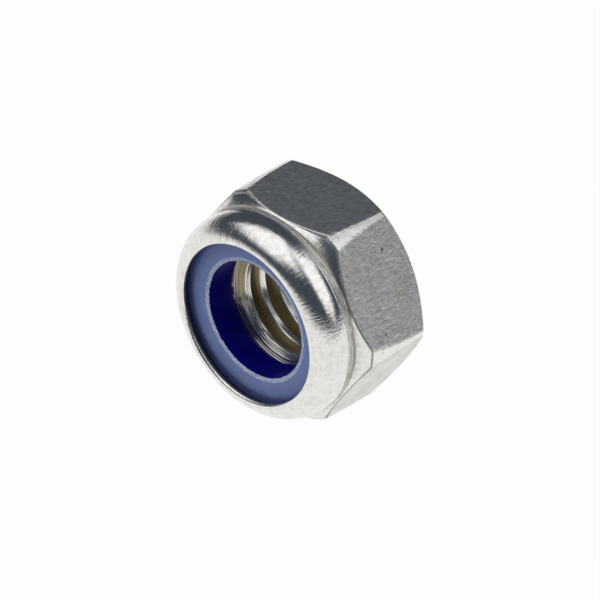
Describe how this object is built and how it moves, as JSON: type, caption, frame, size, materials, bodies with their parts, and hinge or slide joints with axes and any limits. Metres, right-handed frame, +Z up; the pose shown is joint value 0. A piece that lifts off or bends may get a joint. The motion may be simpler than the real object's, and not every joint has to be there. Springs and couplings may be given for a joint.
{
  "type": "nylon insert lock nut",
  "caption": "Hexagon lock nut of stainless steel with a crimped collar that holds a blue nylon ring, which grips the bolt's thread.",
  "frame": {"origin": "on the bore's axis, at half the nut's height, inside the threaded length", "axes": "+Z up with the nut lying on one of its flats, +Y along the bore's axis towards the bearing face, the nylon end faces -Y"},
  "size_m": [0.0148, 0.008, 0.013],
  "materials": {
    "steel": "satin stainless steel, forged flats and turned collar",
    "nylon": "satin blue nylon, scuffed round the mouth of its bore"
  },
  "bodies": {
    "root": {"nut_body": "steel", "nylon_insert": "nylon"}
  },
  "joints": []
}
